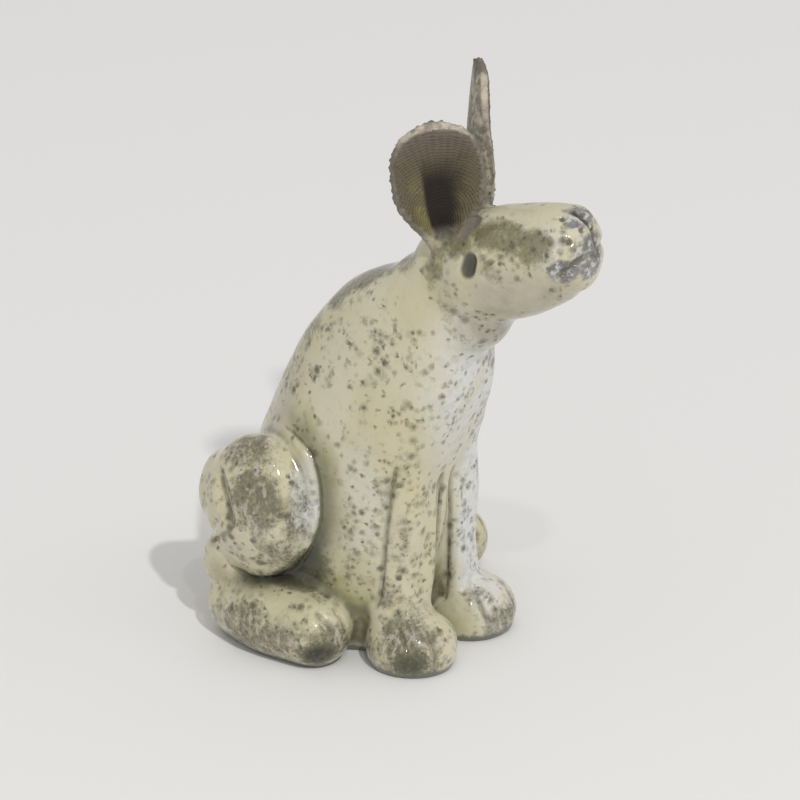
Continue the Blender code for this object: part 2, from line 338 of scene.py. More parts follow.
MOUTH = [(0.6, -54.2, 145), (3.8, -54.2, 146), (7.4, -53.7, 146), (10.2, -52.6, 145.2), (12.8, -49, 141)]
LIP = [(0, -52.8, 152), (0, -53.7, 147)]
NOSTRIL = [(1.5, -46.4, 158), (2.3, -50.5, 156.5), (1.6, -52.2, 154.8), (0.4, -52.6, 152.6)]
WHISKER_PITS = [(5.5, -45.5, 156.7), (4.6, -51.1, 153.9), (9.5, -50.3, 151.7)]
EYE = [(15.7, -20, 139), (15.7, -20, 141.4)]
SIDES = (-1, 1)
MUZZLE_TURN = 0.0019


def muzzle_middle(y):
    return MUZZLE_TURN * y * y


def on_face(line, side):
    return [(muzzle_middle(y) + side * x, y, z) for x, y, z in line]


def both_sides(lines):
    return [[(side * x, y, z) for x, y, z in line] for side in SIDES for line in lines]


body_lines = both_sides(LEG_LINES)
for side, (toe_x, toe_y) in HIND_TOES.items():
    body_lines += [[(toe_x + side * x, toe_y + y, z) for x, y, z in line] for line in TOE_LINES]
tools = {
    "body_lines": body_lines,
    "haunch_edges": both_sides([HAUNCH_EDGE]),
    "hip_folds": both_sides([HIP_FOLD]),
    "mouth": [on_face(MOUTH, side) for side in SIDES] + [on_face(LIP, 1)],
    "nostrils": [on_face(NOSTRIL, side) for side in SIDES],
    "pits": [on_face([pit], side) for side in SIDES for pit in WHISKER_PITS],
    "eyes": [on_face([(x - muzzle_middle(y) * side, y, z) for x, y, z in EYE], side) for side in SIDES],
}
print({name: len(lines) for name, lines in tools.items()})

# %% [markdown]
# ## Guides on the clay
#
# Each line is bent through its points, cut into short steps and dropped onto the skin. A few rounds of easing
# take out the shake that the net gives it. The guide is a plain mesh of edges, because Geometry Proximity
# measures the distance to those.

# %% Drop the lines onto the skin
STEPS_A_PART = 6
EASING_ROUNDS = 12


def bent(line):
    """The line as a smooth curve through its points."""
    if len(line) < 3:
        return [Vector(point) for point in line]
    knots = [Vector(point) for point in line]
    knots = [2 * knots[0] - knots[1], *knots, 2 * knots[-1] - knots[-2]]
    found = []
    for a, b, c, d in zip(knots, knots[1:], knots[2:], knots[3:]):
        for step in range(STEPS_A_PART):
            t = step / STEPS_A_PART
            cubic = (3 * b - a - 3 * c + d) * t**3
            found.append((2 * b + (c - a) * t + (2 * a - 5 * b + 4 * c - d) * t**2 + cubic) / 2)
    return found + [knots[-2]]


def hidden(name, mesh):
    obj = placed(name, mesh)
    obj.hide_render = True
    return obj


def guide(name, lines, skin):
    """The lines as one mesh of edges that lies on the skin."""
    places, edges = [], []
    for line in lines:
        start = len(places)
        stops = [skin.find_nearest(at(*point))[0] for point in bent(line)]
        for _ in range(EASING_ROUNDS):
            middles = [(a + 2 * b + c) / 4 for a, b, c in zip(stops, stops[1:], stops[2:])]
            stops = stops[:1] + middles + stops[-1:]
        places += stops
        edges += [(i, i + 1) for i in range(start, len(places) - 1)]
    mesh = bpy.data.meshes.new(name)
    mesh.from_pydata(places, edges, [])
    return hidden(name, mesh)


faces = [tuple(face.vertices) for face in clay.data.polygons]
skin = BVHTree.FromPolygons(points_of(clay.data).tolist(), faces)
guides = {name: guide(name, lines, skin) for name, lines in tools.items()}
print("guides of", {name: len(obj.data.vertices) for name, obj in guides.items()}, "points")

# %% [markdown]
# ## The ears' slab
#
# Each ear is a leaf cut from a slab and rolled at its root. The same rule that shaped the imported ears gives
# the sheet through the middle of the slab here. It carries how far along the cloth a point is, how far
# across, and how far from the cut edge, and also which way the cup opens there. The clay reads them from the
# nearest point of the sheet, and the cloth's print can then follow the slab round its curl.

# %% The sheet through the middle of each ear
EAR_SLAB_MM = 4.2
EAR_HALF_WIDTH_MM, LEAST_HALF_WIDTH_MM = 15.0, 0.4
ROOT_WIDTH, WIDEST_AT = 0.3, 0.48
EARS = [
    ((-9.5, -7.5, 140), (-16.3, -8, 183.6), (-0.75, -0.66, 0.0), 3.0),
    ((9.5, -7, 140), (22, 1, 190), (0.6, -0.8, 0.0), 2.0),
]
CURL_AT_ROOT, CURL_AT_TIP = math.radians(110), math.radians(15)
SHEET_ROWS, SHEET_COLUMNS = 60, 40


def ear_half_width(v):
    """Narrow at the root, widest nearly half way along, and round at the tip."""
    rise = ROOT_WIDTH + (1 - ROOT_WIDTH) * math.sin(math.pi / 2 * min(v / WIDEST_AT, 1.0)) ** 1.6
    rounding = max(1.0 - max((v - WIDEST_AT) / (1 - WIDEST_AT), 0.0) ** 3, 0.0) ** 0.37
    return max(EAR_HALF_WIDTH_MM * rise * rounding, LEAST_HALF_WIDTH_MM)


def ear_point(ear, u, v):
    """The middle of the slab, u across from -1 to 1 and v along from 0 to 1."""
    root, tip, opening, bow = (Vector(value) if isinstance(value, tuple) else value for value in ear)
    along = (tip - root).normalized()
    opening = (opening - along * opening.dot(along)).normalized()
    across = along.cross(opening)
    curl = CURL_AT_TIP + (CURL_AT_ROOT - CURL_AT_TIP) * (1 - v) ** 2
    radius = ear_half_width(v) / curl
    point = root.lerp(tip, v) + across * (radius * math.sin(u * curl))
    return point + opening * (radius * (1 - math.cos(u * curl)) - bow * math.sin(math.pi * v))


def ear_sheet(ears):
    """Both sheets as one mesh with the numbers that the clay will read."""
    places, faces, cloth = [], [], []
    for ear in ears:
        length = (Vector(ear[1]) - Vector(ear[0])).length
        start = len(places)
        for row in range(SHEET_ROWS + 1):
            v = math.sin(math.pi / 2 * row / SHEET_ROWS)
            for column in range(SHEET_COLUMNS + 1):
                u = 2 * column / SHEET_COLUMNS - 1
                places.append(at(*ear_point(ear, u, v)))
                half_width = ear_half_width(v)
                edge = min((1 - abs(u)) * half_width, (1 - v) * length)
                cloth.append((v * length, u * half_width, edge))
        width = SHEET_COLUMNS + 1
        for row in range(SHEET_ROWS):
            for column in range(SHEET_COLUMNS):
                a = start + row * width + column
                faces.append((a, a + 1, a + width + 1, a + width))
    mesh = bpy.data.meshes.new("ear_sheets")
    mesh.from_pydata(places, [], faces)
    for name, values in (("cloth", np.array(cloth)), ("opens", normals_of(mesh))):
        layer = mesh.attributes.new(name, "FLOAT_VECTOR", "POINT")
        layer.data.foreach_set("vector", values.ravel())
    return hidden("ear_sheets", mesh)


guides["ear_sheets"] = ear_sheet(EARS)
print("ear sheets of", len(guides["ear_sheets"].data.polygons), "faces")

# %% [markdown]
# ## Finer net where the tools went
#
# A drawn line is about a millimetre wide, so the skin needs more points there. Only the squares that touch a
# tool's path or the ears' cut edge are divided, which keeps the whole figure under 200,000 triangles. One
# table holds the tools: how far from its path the net is made finer, then its width, its depth and its burr.

# %% Divide the skin beside the tools and the ear edges
TOOLS_MM = {
    "body_lines": (1.8, 1.3, 0.55, 0.06),
    "haunch_edges": (2.2, 1.7, 0.55, 0.0),
    "hip_folds": (2.0, 2.0, 0.6, 0.08),
    "mouth": (2.2, 2.6, 0.4, 0.04),
    "nostrils": (2.2, 1.5, 0.7, 0.1),
    "pits": (2.2, 2.6, 0.7, 0.06),
    "eyes": (3.6, 6.0, 0.75, 0.12),
}
EAR_EDGE_MM, ABOVE_ROOT_MM, EAR_EDGE_REACH = 0.2, 12, 0.0023


def near_tools(places):
    """A yes or no for each point: whether a tool or the cut edge of an ear is near it."""
    found = np.zeros(len(places), bool)
    for name, (reach, *_) in TOOLS_MM.items():
        for stop in points_of(guides[name].data):
            found |= squared_to(places, stop) < (reach / 1000) ** 2
    sheet = guides["ear_sheets"].data
    along, _, from_edge = read_vectors(sheet.attributes["cloth"].data, "vector").T
    for stop in points_of(sheet)[(from_edge < EAR_EDGE_MM) & (along > ABOVE_ROOT_MM)]:
        found |= squared_to(places, stop) < EAR_EDGE_REACH**2
    return found


net = bmesh.new()
net.from_mesh(clay.data)
touched = near_tools(points_of(clay.data))
edges = [edge for edge in net.edges if touched[edge.verts[0].index] and touched[edge.verts[1].index]]
bmesh.ops.subdivide_edges(net, edges=edges, cuts=1, use_grid_fill=True)
bmesh.ops.triangulate(net, faces=net.faces)
net.to_mesh(clay.data)
net.free()
shape(clay.data, relaxed(clay.data, points_of(clay.data), [0.5, -0.52, 0.5, -0.52]))
print("skin of", len(clay.data.polygons), "triangles")

# %% [markdown]
# ## The roll of the haunch
#
# A laid-on roll is fullest just before it meets the body. The points on the haunch's side of its crease are
# pushed outwards by a step that rises steeply at the crease and dies away some millimetres further in, and
# towards both ends of the crease. Each point also keeps whether it lies on the haunch or off it, because the
# painted shade beside the crease lies on the body's side alone, and the pooled green mostly there. A few
# rounds of easing take the net's steps out of the rise.

# %% Swell the haunch beside its crease
SWELL_MM, SWELL_RISE_MM, SWELL_REACH_MM = 1.5, 1.3, 9.0
TAPER_MM, SHARE_ROUNDS = 9.0, 8
EASED_MM, FADING_MM = (2, 4), (8, 14)
HAUNCH_MIDDLE = (28, 48.5, 46)


def write_number(name, values):
    layer = clay.data.attributes.get(name) or clay.data.attributes.new(name, "FLOAT", "POINT")
    layer.data.foreach_set("value", np.asarray(values, np.float32))


def soft_step(values, start, end):
    share = np.clip((values - start) / (end - start), 0, 1)
    return share * share * (3 - 2 * share)


places, outwards = points_of(clay.data), normals_of(clay.data)
stops = points_of(guides["haunch_edges"].data)
distances = np.stack([squared_to(places, stop) for stop in stops])
nearest_stop = stops[distances.argmin(axis=0)]
distance_mm = np.sqrt(distances.min(axis=0)) * 1000
middles = [at(side * HAUNCH_MIDDLE[0], *HAUNCH_MIDDLE[1:]) for side in SIDES]
inwards = np.where(nearest_stop[:, :1] < -PLAN_MIDDLE.x, *middles) - nearest_stop
inwards /= np.linalg.norm(inwards, axis=1, keepdims=True)
depth_mm = ((places - nearest_stop) * inwards).sum(axis=1) * 1000
swell = soft_step(depth_mm, 0, SWELL_RISE_MM)
swell *= 1 - soft_step(distance_mm, SWELL_RISE_MM, SWELL_REACH_MM)
ends = [np.array(at(*line[end])) for line in both_sides([HAUNCH_EDGE]) for end in (0, -1)]
from_ends_mm = np.sqrt(np.min([squared_to(places, end) for end in ends], axis=0)) * 1000
taper = soft_step(from_ends_mm, 1, TAPER_MM)
swollen = places + outwards * (swell * taper * SWELL_MM / 1000)[:, None]
beside_crease = 1 - soft_step(distance_mm, *EASED_MM)[:, None]
shape(clay.data, swollen + beside_crease * (relaxed(clay.data, swollen, [0.5] * 4) - swollen))
on_haunch = soft_step(depth_mm / np.maximum(distance_mm, 0.5), -0.3, 0.3)
on_haunch, taper, distance_mm = relaxed(
    clay.data, np.stack([on_haunch, taper, distance_mm], axis=1), [0.5] * SHARE_ROUNDS
).T
write_number("on_haunch", on_haunch * (1 - soft_step(distance_mm, *FADING_MM)))
write_number("off_haunch", (1 - on_haunch) * taper)
print("haunch edges swollen at", int((swell > 0.1).sum()), "points")

# %% [markdown]
# ## Worked by hand
#
# Fingers leave a clay wall a little uneven, and the glaze then shows it in its highlights. A slow noise moves
# the skin in and out by a fraction of a millimetre. The size and the depth of a dent are dials of the tree.

# %% Uneven walls
tree, dials = start_tree("hand_worked", {"Dent size": "Float", "Dent depth": "Float", "Seed": "Float"})
dent = seeded_noise(tree, dials["Dent size"], dials["Seed"], 1.5)
dent = maths(tree, "SUBTRACT", dent, 0.5)
depth = maths(tree, "MULTIPLY", dent, dials["Dent depth"])
finish_tree(tree, pushed_out(tree, dials["Clay"], depth), glaze)
run_tree(clay, tree, {"Dent size": 0.014, "Dent depth": 0.0011, "Seed": 4.0})
print("walls worked uneven")

# %% [markdown]
# ## Drawing in the clay
#
# One tree does the work of every tool. It measures how far each point of the skin is from the tool's path and
# presses it in by a round profile, deepest under the path. Clay doesn't vanish: a little of it rises beside
# the tool, so a low burr runs along each side. The distance is kept on the mesh in millimetres, because the
# glaze gathers in the lines and the finish needs to know where they are.

# %% The drawing tree
ROUNDNESS = 1.3
BURR_START, BURR_TOP, BURR_END = 0.8, 1.25, 2.2

tree, dials = start_tree(
    "draw_in_clay",
    {"Path": "Object", "Tool width": "Float", "Depth": "Float", "Burr": "Float", "Distance name": "String"},
)
path = geometry_of(tree, dials["Path"])
to_edges, to_points = (
    add_node(tree, "GeometryNodeProximity", {0: path}, target_element=target)
    for target in ("EDGES", "POINTS")
)
path_size = add_node(tree, "GeometryNodeAttributeDomainSize", {"Geometry": path}, component="MESH")
edge_count = path_size.outputs["Edge Count"]
away = add_node(
    tree,
    "GeometryNodeSwitch",
    {
        "Switch": add_node(tree, "FunctionNodeCompare", {2: edge_count, 3: 0}, data_type="INT"),
        "False": to_points.outputs["Distance"],
        "True": to_edges.outputs["Distance"],
    },
    input_type="FLOAT",
)
reach = maths(tree, "DIVIDE", away, dials["Tool width"])
reach = maths(tree, "MULTIPLY", reach, 2.0)
square = maths(tree, "MULTIPLY", reach, reach)
bowl = maths(tree, "SUBTRACT", 1.0, square, use_clamp=True)
bowl = maths(tree, "POWER", bowl, ROUNDNESS)
rising = eased(tree, reach, BURR_START, BURR_TOP)
falling = eased(tree, reach, BURR_TOP, BURR_END, 1.0, 0.0)
ridge = maths(tree, "MULTIPLY", rising, falling)
lift = maths(tree, "MULTIPLY", ridge, dials["Burr"])
sink = maths(tree, "MULTIPLY", bowl, dials["Depth"])
change = maths(tree, "SUBTRACT", lift, sink)
in_mm = maths(tree, "MULTIPLY", away, 1000.0)
named = keep_on_points(tree, dials["Clay"], dials["Distance name"], in_mm)
finish_tree(tree, pushed_out(tree, named, change), glaze)
print("drawing tree of", len(tree.nodes), "nodes")

# %% [markdown]
# Each tool now runs once, by its row of the table. The line tool is about a millimetre wide at its tip, the
# mouth was drawn softer, and the eyes are broad, shallow presses.

# %% Draw every line, eye and pit
for name, (_, *sizes) in TOOLS_MM.items():
    width, depth, burr = (size / 1000 for size in sizes)
    tool = {"Path": guides[name], "Tool width": width, "Depth": depth, "Burr": burr}
    run_tree(clay, tree, {**tool, "Distance name": name + "_mm"})
print("drawn with", len(TOOLS_MM), "tools")

# %% [markdown]
# ## Torn ear edges and the cloth's numbers
#
# This tree reads the sheet's numbers onto the clay, with Sample Nearest Surface. How far a point lies in
# front of the sheet or behind it tells the inside of the cup from its back, with the cut edge between them.
# The tree also roughens that edge: clay that is cut on cloth tears into small crumbs, and they were left.

# %% The ear tree
SLAB_FADE, ROOT_FADE_MM = (1.4, 1.0), (3.0, 9.0)
CRUMB_NOISE, CRUMB_HEIGHTS, CRUMB_BAND_MM = (0.48, 0.75), (-0.15, 1.0), (1.6, 0.1)


def straight(value, band, heights=(0.0, 1.0)):
    inputs = {"Value": value, 1: band[0], 2: band[1], 3: heights[0], 4: heights[1]}
    return add_node(tree, "ShaderNodeMapRange", inputs)


tree, dials = start_tree(
    "cloth_on_ears",
    {"Sheets": "Object", "Reach": "Float", "Crumb size": "Float", "Crumb height": "Float", "Seed": "Float"},
)
sheets = geometry_of(tree, dials["Sheets"])
place = add_node(tree, "GeometryNodeInputPosition")
nearest = add_node(tree, "GeometryNodeProximity", {0: sheets}, target_element="FACES")
read = {}
for name in ("cloth", "opens"):
    wanted = add_node(tree, "GeometryNodeInputNamedAttribute", {"Name": name}, data_type="FLOAT_VECTOR")
    read[name] = add_node(
        tree,
        "GeometryNodeSampleNearestSurface",
        {"Mesh": sheets, "Value": wanted},
        data_type="FLOAT_VECTOR",
    )
share = maths(tree, "DIVIDE", nearest.outputs["Distance"], dials["Reach"])
on_slab = eased(tree, share, *SLAB_FADE)
numbers = add_node(tree, "ShaderNodeSeparateXYZ", {0: read["cloth"]})
above_root = straight(numbers.outputs["X"], ROOT_FADE_MM)
ear_share = maths(tree, "MULTIPLY", on_slab, above_root)
from_sheet = {0: place, 1: nearest.outputs["Position"]}
from_sheet = add_node(tree, "ShaderNodeVectorMath", from_sheet, operation="SUBTRACT")
facing = add_node(tree, "ShaderNodeVectorMath", {0: from_sheet, 1: read["opens"]}, operation="DOT_PRODUCT")
in_slab = maths(tree, "MULTIPLY", facing.outputs["Value"], 1000.0)
crumb = seeded_noise(tree, dials["Crumb size"], dials["Seed"], 2.0)
crumbs = straight(crumb, CRUMB_NOISE, CRUMB_HEIGHTS)
at_edge = straight(numbers.outputs["Z"], CRUMB_BAND_MM)
crumbs = maths(tree, "MULTIPLY", crumbs, at_edge)
crumbs = maths(tree, "MULTIPLY", crumbs, ear_share)
height = maths(tree, "MULTIPLY", crumbs, dials["Crumb height"])
rough = pushed_out(tree, dials["Clay"], height)
for name, value, kind in (
    ("cloth_mm", read["cloth"], "FLOAT_VECTOR"),
    ("ear", ear_share, "FLOAT"),
    ("slab_mm", in_slab, "FLOAT"),
):
    rough = keep_on_points(tree, rough, name, value, kind)
finish_tree(tree, rough, glaze)
slab = {"Sheets": guides["ear_sheets"], "Reach": 0.6 * EAR_SLAB_MM / 1000}
run_tree(clay, tree, {**slab, "Crumb size": 0.0015, "Crumb height": 0.0009, "Seed": 2.0})
for obj in guides.values():
    bpy.data.objects.remove(obj)
print("ears of", len(clay.data.vertices), "points read the cloth")

# %% [markdown]
# ## Where the glaze pools
#
# Molten glaze runs into every hollow, where it is thick and green, and draws back from ridges. A hollow is
# where a smoothed copy of the skin lies outside the skin itself, and the gap between the two measures it. A
# lightly smoothed copy finds the narrow creases, which are darkened with painted shade, a heavily smoothed one
# the wide ones.

# %% Hollows
CREASE_ROUNDS, POOL_ROUNDS = 60, 420
CREASE_SHARE, POOL_SHARE = 0.8, 0.9


def hollow_mm(smoothed):
    return ((smoothed - places) * outwards).sum(axis=1) * 1000


places = np.clip(points_of(clay.data), cad_box[0], cad_box[1])
shape(clay.data, places)
outwards = normals_of(clay.data)
wide = relaxed(clay.data, places, [CREASE_SHARE] * CREASE_ROUNDS)
write_number("crease_mm", hollow_mm(wide))
wide = relaxed(clay.data, wide, [POOL_SHARE] * (POOL_ROUNDS - CREASE_ROUNDS))
pool_mm = hollow_mm(wide)
write_number("pool_mm", pool_mm)
print("deepest pool", round(pool_mm.max(), 2), "mm, highest ridge", round(-pool_mm.min(), 2), "mm")

# %% [markdown]
# ## Where the smoke got in
#
# The clouds of a smoke firing follow no rule of the form: they lie where the sawdust lay. They are painted as
# soft ovals at their places on the drawing, each with a centre, three half sizes and a strength, and the glaze
# breaks them up later. Ovals of the same kind say where the specks crowd or stay away, and where the ground is
# milky, dusky or green. Some ovals are painted shade as well: the soot ovals in the crevice under the haunch,
# the dusky ones under the jaw, and the olive ones low on the haunch. The left side and the back get fewer and
# larger ones than the right side.

# %% Clouds of smoke, and painted shade in the crevice and low on the haunch
CLOUDS = {}
CLOUDS["olive"] = [
    ((-10, -28, 149.5), (8, 17, 6.5), 0.95), ((-9, -40, 149), (6.5, 8, 7), 1.1),
    ((-14, -14, 147), (7, 8, 8), 1.0), ((-14, -28, 140), (4, 6, 5), 0.42),
    ((12, -28, 150), (8, 16, 7), 0.8), ((-13, -7, 137), (7, 5, 10), 0.75),
    ((-13, -12, 127), (5, 4, 10), 0.5), ((-5, 33, 116), (12, 11, 10), 1.2),
    ((-2, 23, 122), (12, 11, 9), 1.25), ((0, 13, 127), (11, 10, 8), 1.15),
    ((-6, 5, 132), (8, 8, 7), 0.8), ((-12, 42, 103), (8, 8, 12), 0.65),
    # The ovals low on the haunch stand for smoke and painted shade together.
    ((-39, 42.5, 54), (8, 11, 15), 1.0), ((-34, 49, 66), (10, 12, 8), 0.85),
    ((-33, 33, 47), (7, 8, 16), 0.65), ((-35, 36, 36), (9, 12, 9), 0.6),
    ((38, 47, 56), (10, 13, 16), 0.9), ((-44, 42, 9), (9, 30, 11), 0.75),
    ((-38, 17, 9), (10, 10, 9), 1.0), ((-25, -5, 11), (12, 12, 19), 0.85),
    ((-27, 0, 24), (8, 9, 12), 0.8), ((-22, 0, 42), (5, 6, 16), 0.45),
    ((-21, -2, 72), (6, 6, 8), 0.32), ((16, -12, 6), (13, 10, 8), 0.75),
    ((8, -8, 15), (8, 8, 7), 0.4), ((48, 24, 8), (9, 11, 9), 0.8),
    ((5, 64, 34), (22, 12, 20), 0.6), ((20, 34, 100), (12, 16, 16), 0.5),
]
CLOUDS["slate"] = [
    ((2, -53.5, 147.5), (11, 6, 7.5), 0.9), ((3, -50, 157.5), (9, 6.5, 5), 0.9),
    ((-6.5, -50.5, 142.5), (7, 7, 5), 1.05), ((2, -54, 143), (9, 5, 6), 1.0),
    ((15, -49, 143), (6, 6, 5), 0.8),
]
CLOUDS["soot"] = [
    # The first two ovals and the one at (30, 32, 26) are painted shade in the crevice under the haunch; the
    # rest are soot on the toes.
    ((-28, 35, 25.5), (9, 14, 5.5), 1.35), ((-28, 31, 28.5), (8, 9, 10), 1.35),
    ((-41, 17, 6.5), (8, 9, 6), 1.3), ((-28, -8, 5.5), (9, 8, 5.5), 1.1),
    ((-20, -14, 5), (5, 5, 4), 0.55), ((-30, 11, 6), (6, 10, 9), 0.7),
    ((30, 32, 26), (9, 16, 6), 0.9), ((43, 20, 6), (6, 6, 4), 0.8),
]
print({name: len(ovals) for name, ovals in CLOUDS.items()}, "clouds")

# %% Where the specks crowd and where they stay away
CLOUDS["smoke"] = [
    ((-19, 12, 111), (10, 10, 9), 1.1), ((-19, 12, 111), (6, 5, 5), 2.2),
    ((-18, -5, 104), (6, 5, 8), 2.2), ((-19, -3, 108), (8, 8, 12), 0.9),
    ((-18, 30, 102), (9, 9, 9), 1.5), ((-21, -2, 73), (10, 9, 15), 1.3),
    ((-21, -3, 86), (9, 10, 10), 0.6), ((-20, 2, 50), (14, 14, 26), 1.7),
    ((-21, 4, 28), (12, 12, 14), 1.5), ((-26, 12, 60), (8, 12, 26), 0.55),
    ((-27, 20, 36), (10, 12, 14), 0.9), ((-20, 42, 92), (10, 9, 14), 0.6),
    ((-22, 20, 96), (14, 20, 16), 0.35), ((12, -6, 70), (10, 12, 34), 0.75),
    ((10, -4, 34), (12, 12, 20), 0.7), ((-40, 44, 52), (14, 22, 26), 0.5),
    ((-38, 38, 12), (14, 34, 18), 1.1), ((40, 44, 50), (14, 22, 26), 0.6),
    ((40, 36, 10), (16, 34, 16), 0.7), ((22, 24, 92), (12, 24, 30), 0.8),
    ((0, 50, 80), (24, 14, 34), 0.7), ((-8, -30, 152), (12, 26, 10), 0.4),
    ((-12, -46, 146), (7, 10, 9), 0.45), ((4, -12, 86), (16, 9, 30), 0.85),
]
CLOUDS["bare"] = [
    ((-24, 24, 86), (10, 10, 8), 0.8), ((-16, -3, 127), (9, 10, 7), 0.9),
    ((-13, -34, 131), (12, 20, 9), 0.9), ((-12, 2, 120), (14, 12, 6), 0.5),
    ((-22, 44, 75), (10, 8, 7), 0.6),
]
print({name: len(ovals) for name, ovals in CLOUDS.items()}, "clouds")

# %% Where the ground is milky, green, or dusky with painted shade
CLOUDS["milk"] = [
    ((0, -15, 92), (26, 21, 46), 1.05), ((14, -6, 40), (12, 16, 46), 1.3),
    ((14, -12, 10), (13, 12, 12), 0.8), ((-24, 13, 54), (9, 11, 28), 0.55),
    ((-30, 30, 54), (7, 7, 18), 1.2), ((-9, -46, 152), (7, 8, 9), 0.8),
]
# Painted shade under the jaw and throat in a pink-grey, with a light lilac-grey cast on the lower back.
CLOUDS["dusk"] = [
    ((-9, -38, 131), (16, 24, 14), 1.0), ((-2, -24, 117), (18, 16, 13), 1.3),
    ((-18, 48, 84), (12, 12, 20), 0.6), ((-14, -14, 130), (7, 9, 12), 0.5),
    ((12, -38, 131), (14, 24, 14), 0.8),
]
CLOUDS["green"] = [
    ((-25, 36, 72), (9, 9, 12), 1.2), ((-27, 27, 62), (8, 8, 15), 1.2),
    ((-27, 22, 44), (8, 9, 24), 0.7), ((-27, 16, 28), (9, 10, 12), 0.9),
    ((27, 34, 66), (9, 9, 16), 0.8), ((-38, 36, 19), (9, 22, 7), 0.6),
    ((-14, -8, 134), (7, 7, 9), 0.5), ((0, -6, 12), (10, 10, 12), 0.7),
]
print(len(CLOUDS), "kinds of oval")

# %% Lay the ovals on the clay
OVAL_CORE, OVAL_EDGE = 1.15, 0.8


def soft_oval(centre, half_sizes):
    """1 in the middle of an oval, falling to 0 at its edge, for every point of the skin."""
    reach = (places - np.array(at(*centre))) / (np.array(half_sizes) / 1000)
    return np.clip(OVAL_CORE * (1 - (reach**2).sum(axis=1)), 0, 1) ** OVAL_EDGE


for name, ovals in CLOUDS.items():
    amount = np.zeros(len(places))
    for centre, half_sizes, strength in ovals:
        amount = np.maximum(amount, strength * soft_oval(centre, half_sizes))
    write_number(name, amount)
print("laid", sum(len(ovals) for ovals in CLOUDS.values()), "ovals")

# %% [markdown]
# ## The glaze
#
# Milky raku glaze over a buff body: glossy, cream where it is thin and green where it pools. Smoke gives it
# two marks. Specks are soft grey dots of about one to three millimetres, in drifts, where carbon went in at
# a pinhole. Clouds are olive and slate patches with a crumbled edge. All of it is one material on one piece,
# as it is one firing. Every length below is in millimetres on the object.

# %% The numbers and patterns that the glaze reads
nodes = glaze.node_tree
nodes.nodes.clear()
in_metres = add_node(nodes, "ShaderNodeTexCoord").outputs["Object"]
mm = add_node(nodes, "ShaderNodeVectorMath", {0: in_metres, "Scale": 1000.0}, operation="SCALE")
numbers = [*CLOUDS, "crease_mm", "pool_mm", "on_haunch", "off_haunch", "ear", "slab_mm"]
numbers += [name + "_mm" for name in TOOLS_MM]
axes = add_node(nodes, "ShaderNodeSeparateXYZ", {0: mm})
leftwards, height = axes.outputs["X"], axes.outputs["Z"]


def attribute(name, output):
    return add_node(nodes, "ShaderNodeAttribute", attribute_name=name).outputs[output]


number = {name: attribute(name, "Fac") for name in numbers}


def worked(operation, a, b=0.0, **settings):
    return maths(nodes, operation, a, b, **settings)


def plus(a, b):
    return worked("ADD", a, b)


def times(a, b, **settings):
    return worked("MULTIPLY", a, b, **settings)


def swing(noise, size):
    """A noise counted from its middle value and made larger by a size."""
    return times(worked("SUBTRACT", noise, 0.5), size)


def soft_noise(size_mm, detail=3.0, roughness=0.55, vector=None):
    inputs = {"Vector": vector or mm, "Scale": 1 / size_mm, "Detail": detail, "Roughness": roughness}
    return add_node(nodes, "ShaderNodeTexNoise", inputs).outputs[0]


def ramp(*steps):
    return eased(nodes, *steps)


def over(under, colour, share):
    """The colour laid over another by a share."""
    under, colour = (linear(tone) if isinstance(tone, str) else tone for tone in (under, colour))
    return add_node(nodes, "ShaderNodeMix", {0: share, 6: under, 7: colour}, data_type="RGBA")


print("reading", len(number), "numbers from the clay")

# %% [markdown]
# ### The ground
#
# Before any smoke, the glaze is uneven by itself: butter-coloured where it is thick, milky and a little blue
# where it is thickest on the chest and beside the haunch, and yellow-green where it pooled. The dusky
# pink-grey under the jaw and throat is painted shade as well as a greyer glaze.

# %% Cream, milk and pools
CREAM, BUTTER, MILK, COOL, DUSK_AND_SHADE = "#ccc6ad", "#c6be9b", "#d7d8d4", "#b2b7bc", "#9b9386"
GREEN, UMBER_GREEN, DULL = "#9a965f", "#56553f", "#b9b49a"

milky = ramp(soft_noise(9.0, 3.0), 0.3, 0.6, 0.45, 0.85)
milky = times(worked("POWER", number["milk"], 1.7), milky)
colour = over(CREAM, BUTTER, ramp(soft_noise(20, 3.0), 0.3, 0.75))
colour = over(colour, MILK, milky)
cool = times(number["milk"], ramp(soft_noise(3.5, 4.0, 0.7), 0.5, 0.64))
colour = over(colour, COOL, times(cool, 0.4))
# Painted shade under the jaw and throat, in a dusky pink-grey.
dusky_shade = times(number["dusk"], ramp(soft_noise(6.0, 3.0), 0.2, 0.7, 0.3, 0.7))
colour = over(colour, DUSK_AND_SHADE, dusky_shade)
colour = over(colour, DULL, ramp(soft_noise(2.2, 4.0, 0.65), 0.52, 0.7, 0.0, 0.4))
uneven = times(ramp(soft_noise(5.0, 3.0), 0.3, 0.7), 0.5)
green = times(number["green"], ramp(number["on_haunch"], 0.2, 0.8, 1.0, 0.25))
pooled = plus(ramp(number["pool_mm"], 0.3, 2.6, 0.0, 0.65), times(green, 0.55))
pooled = times(pooled, plus(uneven, 0.6), use_clamp=True)
colour = over(colour, GREEN, pooled)
print("ground mixed")

# %% [markdown]
# ### Clouds
#
# A cloud is a haze with a crowd of tiny marks in it. A middle noise tears the haze open, a fine one crumbles
# its edge, and a third, stretched upwards, lets pale streaks through where the pot was wiped.

# %% Olive clouds
OLIVE, OLIVE_DARK, OLIVE_GREEN = "#7f7a5d", "#51513d", "#777146"
BROWN, LILAC = "#6c614a", "#c9c3bf"
NECK_MM, HEAD_MM = 122.0, 134.0

